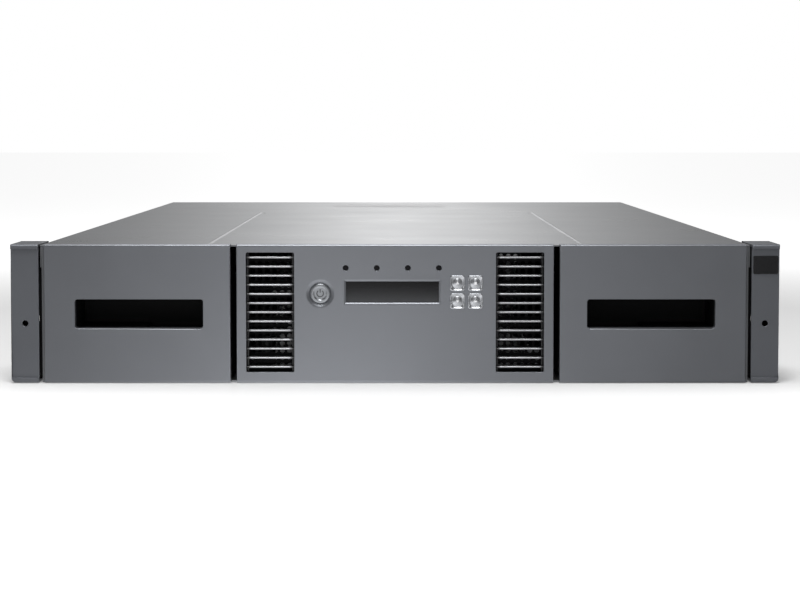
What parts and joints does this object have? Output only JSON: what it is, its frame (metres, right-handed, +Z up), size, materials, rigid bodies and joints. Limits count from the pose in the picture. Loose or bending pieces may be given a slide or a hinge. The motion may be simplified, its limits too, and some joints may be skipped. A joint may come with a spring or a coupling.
{
  "type": "data tape library",
  "caption": "Rack-mounted data tape library with pull-out cartridge magazines, a picking robot, drive sleds, a display and keys.",
  "frame": {"origin": "middle of the footprint's bounding box, on the underside of the chassis", "axes": "+X to the right seen from the front, +Y from the front to the rear, +Z up"},
  "size_m": [0.4826, 0.7568, 0.0876],
  "materials": {
    "face_grey": "satin metallic grey paint on moulded plastic",
    "ear_grey": "satin metallic grey paint on moulded plastic",
    "cover_grey": "satin grey powder coat",
    "bare_steel": "zinc-plated sheet steel",
    "black_steel": "black powder coat",
    "black_plastic": "fine-grained black moulding",
    "plate_black": "smooth black",
    "slat_grey": "satin metallic grey paint",
    "window_clear": "clear smoked window",
    "light_pipe": "dark clear light pipe",
    "board_green": "solder mask",
    "key_silver": "silver paint",
    "button_grey": "satin grey paint",
    "cartridge_black": "textured moulding",
    "bright_steel": "ground steel",
    "brass": "machined brass",
    "rack_polymer": "natural acetal",
    "alloy": "anodised sheet",
    "motor_dark": "black motor can",
    "amber_plastic": "moulded fingers",
    "drive_grey": "dark grey drive case",
    "screw_zinc": "zinc-plated screws"
  },
  "bodies": {
    "chassis": {"base_tray": "cover_grey", "top_cover": "cover_grey", "rear_panel": "bare_steel", "left_flange": "black_steel", "right_flange": "black_steel", "left_ear": "ear_grey", "right_ear": "ear_grey", "ear_plate": "plate_black", "front_bezel": "face_grey", "left_grille": "slat_grey", "right_grille": "slat_grey", "grille_shields": "black_steel", "display_window": "window_clear", "display_module": "black_plastic", "status_lights": "light_pipe", "panel_board": "board_green", "left_guide": "black_plastic", "right_guide": "black_plastic", "guide_rod": "bright_steel", "travel_rack": "rack_polymer", "drive_bay": "bare_steel", "power_supply": "bare_steel", "power_inlet": "black_plastic", "controller_card": "board_green", "controller_plate": "bare_steel", "network_port": "bright_steel", "usb_port": "bright_steel", "cover_screws": "screw_zinc", "flange_screws": "screw_zinc", "rear_screws": "screw_zinc"},
    "left_magazine": {"left_magazine_face": "face_grey", "left_magazine_tray": "black_plastic", "left_cartridges": "cartridge_black"},
    "right_magazine": {"right_magazine_face": "face_grey", "right_magazine_tray": "black_plastic", "right_cartridges": "cartridge_black"},
    "power_button": {"power_button": "button_grey"},
    "key_up": {"key_up": "key_silver"},
    "key_down": {"key_down": "key_silver"},
    "key_select": {"key_select": "key_silver"},
    "key_back": {"key_back": "key_silver"},
    "carriage": {"robot_carriage": "alloy", "travel_motor": "motor_dark", "turn_motor": "motor_dark"},
    "travel_pinion": {"travel_pinion": "brass"},
    "turn_pinion": {"turn_pinion": "brass"},
    "turntable": {"turntable": "alloy", "lift_posts": "bright_steel"},
    "lift_screw": {"lift_screw": "bright_steel"},
    "picker": {"picker_frame": "black_plastic"},
    "reach_tray": {"reach_tray": "alloy"},
    "gripper": {"gripper": "amber_plastic"},
    "upper_drive_sled": {"upper_sled": "bare_steel", "upper_drive": "drive_grey"},
    "lower_drive_sled": {"lower_sled": "bare_steel", "lower_drive": "drive_grey"},
    "upper_fan": {"upper_sled_fan": "black_plastic"},
    "lower_fan": {"lower_sled_fan": "black_plastic"},
    "supply_fan": {"supply_fan": "black_plastic"}
  },
  "joints": [
    {"name": "left_magazine_slide", "type": "slide", "parent": "chassis", "child": "left_magazine", "axis": [0, -1, 0], "range_m": [0, 0.44]},
    {"name": "right_magazine_slide", "type": "slide", "parent": "chassis", "child": "right_magazine", "axis": [0, -1, 0], "range_m": [0, 0.44]},
    {"name": "power_button_press", "type": "slide", "parent": "chassis", "child": "power_button", "axis": [0, 1, 0], "range_m": [0, 0.0008], "stiffness_N_per_m": 600},
    {"name": "key_up_press", "type": "slide", "parent": "chassis", "child": "key_up", "axis": [0, 1, 0], "range_m": [0, 0.0008], "stiffness_N_per_m": 600},
    {"name": "key_down_press", "type": "slide", "parent": "chassis", "child": "key_down", "axis": [0, 1, 0], "range_m": [0, 0.0008], "stiffness_N_per_m": 600},
    {"name": "key_select_press", "type": "slide", "parent": "chassis", "child": "key_select", "axis": [0, 1, 0], "range_m": [0, 0.0008], "stiffness_N_per_m": 600},
    {"name": "key_back_press", "type": "slide", "parent": "chassis", "child": "key_back", "axis": [0, 1, 0], "range_m": [0, 0.0008], "stiffness_N_per_m": 600},
    {"name": "robot_travel", "type": "slide", "parent": "chassis", "child": "carriage", "axis": [0, 1, 0], "range_m": [0, 0.324]},
    {"name": "robot_turn", "type": "hinge", "parent": "carriage", "child": "turntable", "pos_m": [0, -0.2777, 0], "axis": [0, 0, 1], "range_deg": [-90, 90]},
    {"name": "robot_lift", "type": "slide", "parent": "turntable", "child": "picker", "axis": [0, 0, 1], "range_m": [0, 0.0488]},
    {"name": "robot_reach", "type": "slide", "parent": "picker", "child": "reach_tray", "axis": [0, 1, 0], "range_m": [0, 0.051]},
    {"name": "gripper_reach", "type": "slide", "parent": "reach_tray", "child": "gripper", "axis": [0, 1, 0], "range_m": [0, 0.10735]},
    {"name": "travel_pinion_turn", "type": "hinge", "parent": "carriage", "child": "travel_pinion", "pos_m": [-0.08378, -0.34384, 0.004], "axis": [0, 0, 1], "continuous": true},
    {"name": "turn_pinion_turn", "type": "hinge", "parent": "carriage", "child": "turn_pinion", "pos_m": [0.05226, -0.34234, 0.005], "axis": [0, 0, 1], "continuous": true},
    {"name": "lift_screw_turn", "type": "hinge", "parent": "turntable", "child": "lift_screw", "pos_m": [0.0642, -0.2777, 0.04], "axis": [0, 0, 1], "continuous": true},
    {"name": "upper_sled_slide", "type": "slide", "parent": "chassis", "child": "upper_drive_sled", "axis": [0, 1, 0], "range_m": [0, 0.22]},
    {"name": "lower_sled_slide", "type": "slide", "parent": "chassis", "child": "lower_drive_sled", "axis": [0, 1, 0], "range_m": [0, 0.22]},
    {"name": "upper_fan_spin", "type": "hinge", "parent": "upper_drive_sled", "child": "upper_fan", "pos_m": [-0.046, 0.35444, 0.06375], "axis": [0, 1, 0], "continuous": true},
    {"name": "lower_fan_spin", "type": "hinge", "parent": "lower_drive_sled", "child": "lower_fan", "pos_m": [-0.046, 0.35444, 0.02215], "axis": [0, 1, 0], "continuous": true},
    {"name": "supply_fan_spin", "type": "hinge", "parent": "chassis", "child": "supply_fan", "pos_m": [0.1798, 0.35444, 0.0212], "axis": [0, 1, 0], "continuous": true}
  ],
  "couplings": [
    {"joint": "travel_pinion_turn", "follows": "robot_travel", "rad_per_m": 125},
    {"joint": "turn_pinion_turn", "follows": "robot_turn", "ratio": -8.2222},
    {"joint": "lift_screw_turn", "follows": "robot_lift", "rad_per_m": -785.4},
    {"joint": "gripper_reach", "follows": "robot_reach", "ratio": 2.1}
  ]
}
